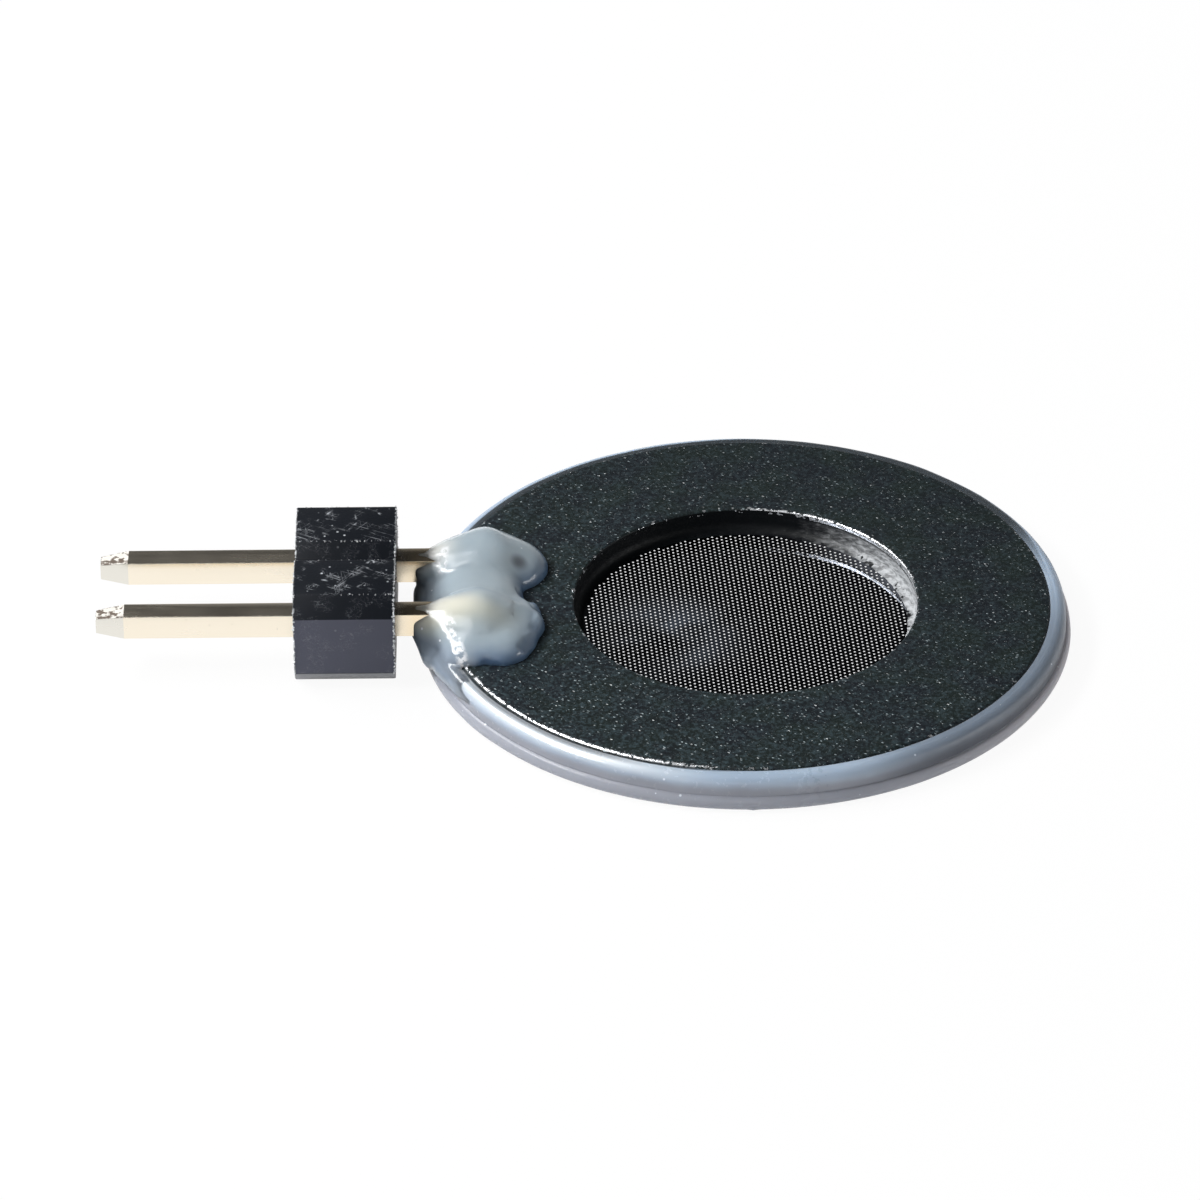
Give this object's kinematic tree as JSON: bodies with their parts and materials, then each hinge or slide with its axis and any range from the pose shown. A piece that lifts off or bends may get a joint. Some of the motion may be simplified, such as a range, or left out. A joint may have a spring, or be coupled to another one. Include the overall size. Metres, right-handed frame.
{
  "type": "ultrasonic mesh transducer",
  "caption": "Round piezo disc with a finely perforated spray plate across its opening, a silicone edge seal and a straight pin header for its drive signal.",
  "frame": {"origin": "centre of the liquid opening, in the plane that the seal and the header rest on", "axes": "+Z along the disc's axis towards the spray side, +X from the header across the disc, so the pins point along -X"},
  "size_m": [0.0247, 0.0166, 0.0025],
  "materials": {
    "silicone_seal": "satin grey-blue silicone",
    "sealant": "glossy translucent pale silicone",
    "black_coat": "matt black with fine grain",
    "spray_plate": "dark polished, finely perforated",
    "glue": "clear amber",
    "piezo_ceramic": "ground",
    "header_plastic": "moulded black with dust and burrs",
    "gold_plate": "thin bright gold plating",
    "solder": "bright solder"
  },
  "bodies": {
    "root": {"edge_seal": "silicone_seal", "mesh_plate": "spray_plate", "bond_film": "glue", "piezo_ring": "piezo_ceramic", "insulating_coat": "black_coat", "header_housing": "header_plastic", "header_pin_front": "gold_plate", "header_pin_back": "gold_plate", "solder_joint_front": "solder", "solder_joint_back": "solder", "tail_sealant": "sealant"}
  },
  "joints": []
}
